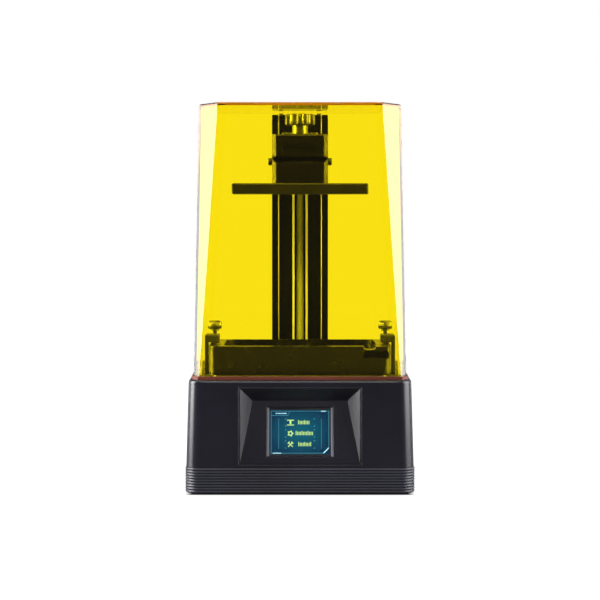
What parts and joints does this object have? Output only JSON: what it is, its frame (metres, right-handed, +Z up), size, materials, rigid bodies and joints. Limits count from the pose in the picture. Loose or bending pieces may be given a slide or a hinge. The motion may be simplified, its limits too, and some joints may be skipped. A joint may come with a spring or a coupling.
{
  "type": "resin printer",
  "caption": "Desktop resin 3-D printer: dark tapered casing with a tilted touch screen, Z column, build platform, resin vat and a faceted amber lift-off hood.",
  "frame": {"origin": "centre of the footprint, on the surface that the printer stands on", "axes": "+Z up, -Y the front with the touch screen, +X the viewer's right"},
  "size_m": [0.225, 0.227, 0.383],
  "materials": {
    "casing_plastic": "fine satin moulded",
    "skirt_plastic": "ribbed satin moulded",
    "foot_rubber": "soft matte",
    "plated_screws": "zinc plated",
    "black_screws": "black oxide",
    "bezel_plastic": "satin moulded",
    "touch_glass": "clear cover glass",
    "display": "lit display",
    "circuit_board": "solder mask",
    "board_components": "moulded packages",
    "board_pillars": "turned brass",
    "deck_metal": "black powder coat",
    "lcd_glass": "polished screen",
    "reflector": "white moulded",
    "lens": "clear moulded lens",
    "led_package": "lens over a white package",
    "heatsink": "extruded",
    "fan_plastic": "moulded",
    "inlet_plastic": "moulded",
    "nickel": "bright plated shell",
    "rocker_plastic": "polished moulded",
    "column_black": "black anodised extrusion",
    "rail_steel": "ground and polished",
    "screw_steel": "rolled thread",
    "bearing_steel": "ground",
    "coupler_aluminium": "turned",
    "nut_brass": "turned",
    "motor_black": "painted laminations",
    "arm_black": "black anodised",
    "flag_steel": "blackened sheet",
    "plate_aluminium": "hard anodised, blasted",
    "guide_aluminium": "milled",
    "knob_metal": "machined and plated",
    "clamp_pads": "turned",
    "thumbscrew_black": "knurled, black oxide",
    "vat_metal": "dark anodised casting",
    "frame_metal": "milled",
    "film": "clear fluoropolymer",
    "hood_acrylic": "transparent ultraviolet-blocking acrylic"
  },
  "bodies": {
    "base": {"lower_casing": "skirt_plastic", "upper_casing": "casing_plastic", "rubber_feet": "foot_rubber", "casing_screws": "plated_screws", "screen_bezel": "bezel_plastic", "screen_glass": "touch_glass", "screen_display": "display", "screen_board": "circuit_board", "deck_plate": "deck_metal", "deck_screws": "plated_screws", "lcd_panel": "lcd_glass", "light_tunnel": "reflector", "collimator_lens": "lens", "led_board": "circuit_board", "led_chips": "led_package", "led_heatsink": "heatsink", "main_board": "circuit_board", "board_parts": "board_components", "board_pillars": "board_pillars", "fan_frame": "fan_plastic", "fan_screws": "black_screws", "power_inlet": "inlet_plastic", "usb_socket": "nickel", "switch_housing": "inlet_plastic", "column": "column_black", "guide_rails": "rail_steel", "column_cap": "column_black", "screw_bearing": "bearing_steel", "cap_screws": "black_screws", "stepper_motor": "motor_black", "motor_screws": "plated_screws", "limit_switch": "board_components", "vat_bracket_left": "deck_metal", "vat_bracket_right": "deck_metal"},
    "hood": {"hood": "hood_acrylic"},
    "carriage": {"carriage_block": "arm_black", "lead_nut": "nut_brass", "limit_flag": "flag_steel", "platform_arm": "arm_black", "arm_screws": "black_screws"},
    "lead_screw": {"motor_shaft": "rail_steel", "shaft_coupler": "coupler_aluminium", "lead_screw": "screw_steel"},
    "platform": {"build_plate": "plate_aluminium", "platform_holder": "arm_black", "platform_guide": "guide_aluminium", "levelling_screws": "black_screws"},
    "knob_pad": {"knob_pad": "clamp_pads"},
    "platform_knob": {"platform_knob": "knob_metal"},
    "vat": {"vat": "vat_metal", "film_frame": "frame_metal", "release_film": "film"},
    "vat_pad_left": {"vat_pad_left": "clamp_pads"},
    "vat_thumbscrew_left": {"vat_thumbscrew_left": "thumbscrew_black"},
    "vat_pad_right": {"vat_pad_right": "clamp_pads"},
    "vat_thumbscrew_right": {"vat_thumbscrew_right": "thumbscrew_black"},
    "fan_rotor": {"fan_rotor": "fan_plastic"},
    "switch_rocker": {"switch_rocker": "rocker_plastic"}
  },
  "joints": [
    {"name": "hood_lift", "type": "slide", "parent": "base", "child": "hood", "axis": [0, 0, 1], "range_m": [0, 0.3]},
    {"name": "carriage_travel", "type": "slide", "parent": "base", "child": "carriage", "axis": [0, 0, 1], "range_m": [-0.181, 0.002]},
    {"name": "lead_screw_turn", "type": "hinge", "parent": "base", "child": "lead_screw", "pos_m": [0, 0.064, 0.25], "axis": [0, 0, 1], "continuous": true},
    {"name": "platform_slide", "type": "slide", "parent": "carriage", "child": "platform", "axis": [0, -1, 0], "range_m": [0, 0.009]},
    {"name": "knob_pad_lift", "type": "slide", "parent": "carriage", "child": "knob_pad", "axis": [0, 0, 1], "range_m": [0, 0.002]},
    {"name": "platform_knob_turn", "type": "hinge", "parent": "knob_pad", "child": "platform_knob", "pos_m": [0, -0.022, 0.35], "axis": [0, 0, 1], "range_deg": [-2, 580]},
    {"name": "vat_slide", "type": "slide", "parent": "base", "child": "vat", "axis": [0, -1, 0], "range_m": [0, 0.0065]},
    {"name": "vat_pad_left_lift", "type": "slide", "parent": "base", "child": "vat_pad_left", "axis": [0, 0, 1], "range_m": [0, 0.0018]},
    {"name": "vat_thumbscrew_left_turn", "type": "hinge", "parent": "vat_pad_left", "child": "vat_thumbscrew_left", "pos_m": [-0.0865, -0.022, 0.15], "axis": [0, 0, 1], "range_deg": [-2, 815]},
    {"name": "vat_pad_right_lift", "type": "slide", "parent": "base", "child": "vat_pad_right", "axis": [0, 0, 1], "range_m": [0, 0.0018]},
    {"name": "vat_thumbscrew_right_turn", "type": "hinge", "parent": "vat_pad_right", "child": "vat_thumbscrew_right", "pos_m": [0.0865, -0.022, 0.15], "axis": [0, 0, 1], "range_deg": [-2, 815]},
    {"name": "switch_rock", "type": "hinge", "parent": "base", "child": "switch_rocker", "pos_m": [0.10812, 0.066, 0.05993], "axis": [-0.0292, 0, 0.9996], "range_deg": [-8, 8]},
    {"name": "fan_spin", "type": "hinge", "parent": "base", "child": "fan_rotor", "pos_m": [-0.046, 0.1, 0.066], "axis": [0, 1, 0], "continuous": true}
  ],
  "couplings": [
    {"joint": "lead_screw_turn", "follows": "carriage_travel", "rad_per_m": -3141.6},
    {"joint": "platform_knob_turn", "follows": "knob_pad_lift", "rad_per_m": 5026.5},
    {"joint": "vat_thumbscrew_left_turn", "follows": "vat_pad_left_lift", "rad_per_m": 7854},
    {"joint": "vat_thumbscrew_right_turn", "follows": "vat_pad_right_lift", "rad_per_m": 7854}
  ]
}
